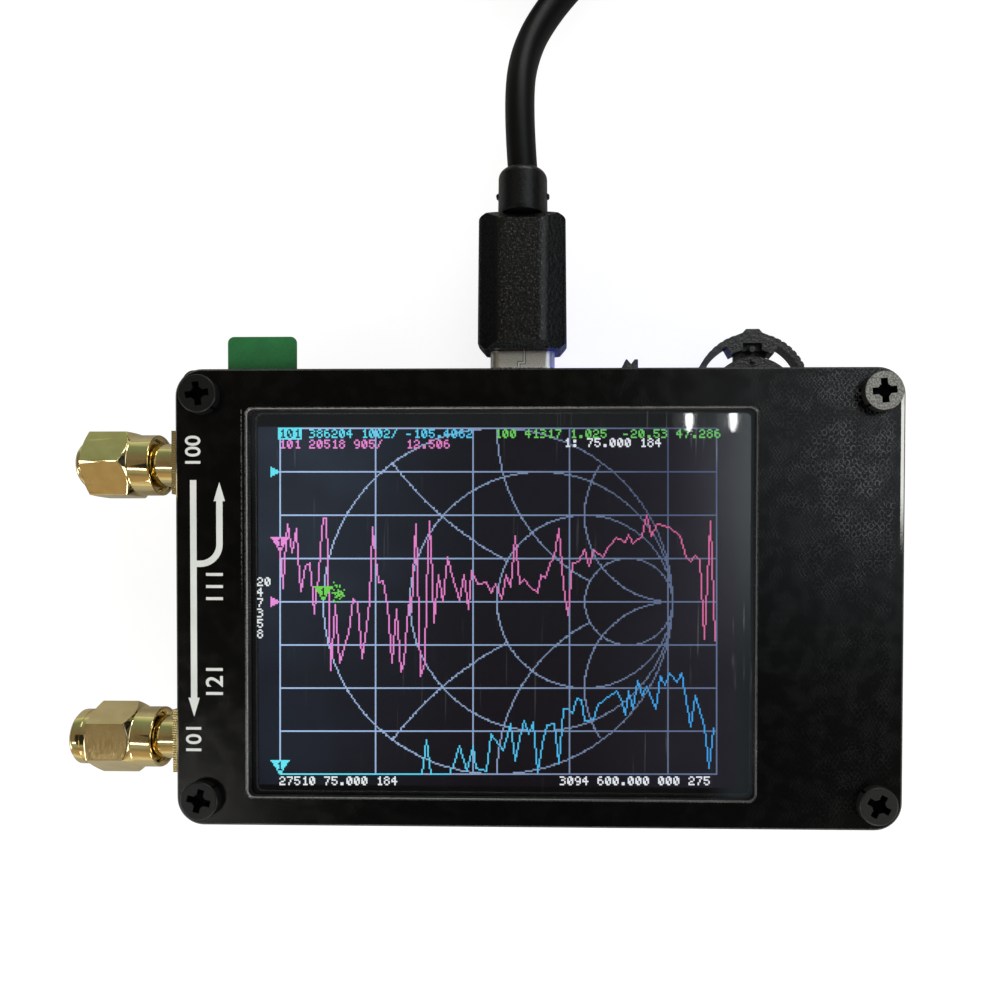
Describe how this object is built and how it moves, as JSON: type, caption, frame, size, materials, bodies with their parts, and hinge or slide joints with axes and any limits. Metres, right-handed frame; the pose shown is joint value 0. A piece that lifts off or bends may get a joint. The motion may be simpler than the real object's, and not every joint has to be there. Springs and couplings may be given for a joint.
{
  "type": "antenna analyzer",
  "caption": "Pocket antenna analyzer: screen between open black panels, two coaxial ports with screw-on terminators, jog wheel, power slide and plugged USB lead.",
  "frame": {"origin": "centre of the panel outline, on the plane that the four rear screw heads rest on", "axes": "+Z out of the screen, +Y towards the edge with the USB socket, +X towards the right-hand end, away from the coaxial ports"},
  "size_m": [0.1018, 0.1829, 0.0182],
  "materials": {
    "panel_black": "black solder mask over glass-fibre laminate",
    "board_black": "black solder mask with small components",
    "screw_black": "black zinc",
    "spacer_brass": "turned brass",
    "port_gold": "gold-plated brass",
    "port_insulator": "white fluoropolymer",
    "screen_frame": "stamped sheet over white light guide",
    "screen_dark": "dark display glass",
    "touch_clear": "clear touch panel",
    "film_clear": "clear protective film",
    "tab_green": "green film tab",
    "tape_white": "double-sided foam tape",
    "flex_amber": "polyimide flexible cable",
    "pouch_silver": "battery pouch foil",
    "connector_white": "nylon connector",
    "wire_red": "wire sleeve",
    "steel_bright": "tinned or stainless steel",
    "usb_steel": "nickel-plated steel",
    "plastic_black": "moulded black plastic",
    "cord_black": "matt cable jacket",
    "chip_black": "moulded chip body",
    "passive_tan": "ceramic chip capacitors",
    "light_blue": "lit blue status light"
  },
  "bodies": {
    "analyzer": {"front_panel": "panel_black", "back_panel": "panel_black", "main_board": "board_black", "front_screws": "screw_black", "rear_screws": "screw_black", "front_spacers": "spacer_brass", "rear_spacers": "spacer_brass", "screen_tape": "tape_white", "backlight_tray": "screen_frame", "screen_glass": "screen_dark", "touch_panel": "touch_clear", "screen_film": "film_clear", "film_tab_clear": "film_clear", "film_tab_green": "tab_green", "screen_flex": "flex_amber", "battery_tape": "tape_white", "battery_cell": "pouch_silver", "battery_socket": "connector_white", "battery_plug": "connector_white", "battery_wires": "wire_red", "usb_receptacle": "steel_bright", "usb_tongue": "plastic_black", "power_switch_housing": "steel_bright", "jog_base": "plastic_black", "rf_shields": "steel_bright", "mixer_chips": "chip_black", "processor_chip": "chip_black", "codec_chip": "chip_black", "clock_chip": "chip_black", "charger_chip": "chip_black", "inductor": "chip_black", "crystals": "steel_bright", "capacitors": "passive_tan", "status_lights": "light_blue", "port_1_jack": "port_gold", "port_1_jack_insulator": "port_insulator", "port_1_jack_contact": "port_gold", "port_2_jack": "port_gold", "port_2_jack_insulator": "port_insulator", "port_2_jack_contact": "port_gold"},
    "port_1_load": {"port_1_load_body": "port_gold", "port_1_load_insulator": "port_insulator", "port_1_load_pin": "port_gold"},
    "port_1_nut_body": {"port_1_nut": "port_gold"},
    "port_2_load": {"port_2_load_body": "port_gold", "port_2_load_insulator": "port_insulator", "port_2_load_pin": "port_gold"},
    "port_2_nut_body": {"port_2_nut": "port_gold"},
    "usb_lead": {"usb_plug_shell": "usb_steel", "usb_plug_grip": "plastic_black", "usb_strain_relief": "plastic_black", "usb_cord": "cord_black", "usb_cord_coil": "cord_black", "usb_a_grip": "plastic_black", "usb_a_shell": "usb_steel", "usb_a_tongue": "plastic_black"},
    "power_knob": {"power_switch_knob": "plastic_black"},
    "jog_push_carriage": {"jog_carriage": "steel_bright"},
    "jog_wheel_body": {"jog_wheel": "plastic_black"}
  },
  "joints": [
    {"name": "port_1_load_slide", "type": "slide", "parent": "analyzer", "child": "port_1_load", "axis": [-1, 0, 0], "range_m": [0, 0.00459]},
    {"name": "port_1_nut_turn", "type": "hinge", "parent": "port_1_load", "child": "port_1_nut_body", "pos_m": [-0.04595, 0.0168, 0.0078], "axis": [-1, 0, 0], "range_deg": [0, 2340]},
    {"name": "port_2_load_slide", "type": "slide", "parent": "analyzer", "child": "port_2_load", "axis": [-1, 0, 0], "range_m": [0, 0.00459]},
    {"name": "port_2_nut_turn", "type": "hinge", "parent": "port_2_load", "child": "port_2_nut_body", "pos_m": [-0.04595, -0.01816, 0.0078], "axis": [-1, 0, 0], "range_deg": [0, 2340]},
    {"name": "usb_lead_unplug", "type": "slide", "parent": "analyzer", "child": "usb_lead", "axis": [0, 1, 0], "range_m": [0, 0.008]},
    {"name": "power_knob_slide", "type": "slide", "parent": "analyzer", "child": "power_knob", "axis": [1, 0, 0], "range_m": [0, 0.002]},
    {"name": "jog_push", "type": "slide", "parent": "analyzer", "child": "jog_push_carriage", "axis": [0, -1, 0], "range_m": [0, 0.0005], "stiffness_N_per_m": 800},
    {"name": "jog_rock", "type": "hinge", "parent": "jog_push_carriage", "child": "jog_wheel_body", "pos_m": [0.027, 0.02628, 0.006], "axis": [0, 0, 1], "range_deg": [-12, 12], "stiffness_Nm_per_rad": 0.01}
  ],
  "couplings": [
    {"joint": "port_1_nut_turn", "follows": "port_1_load_slide", "rad_per_m": 8905.3},
    {"joint": "port_2_nut_turn", "follows": "port_2_load_slide", "rad_per_m": 8905.3}
  ]
}
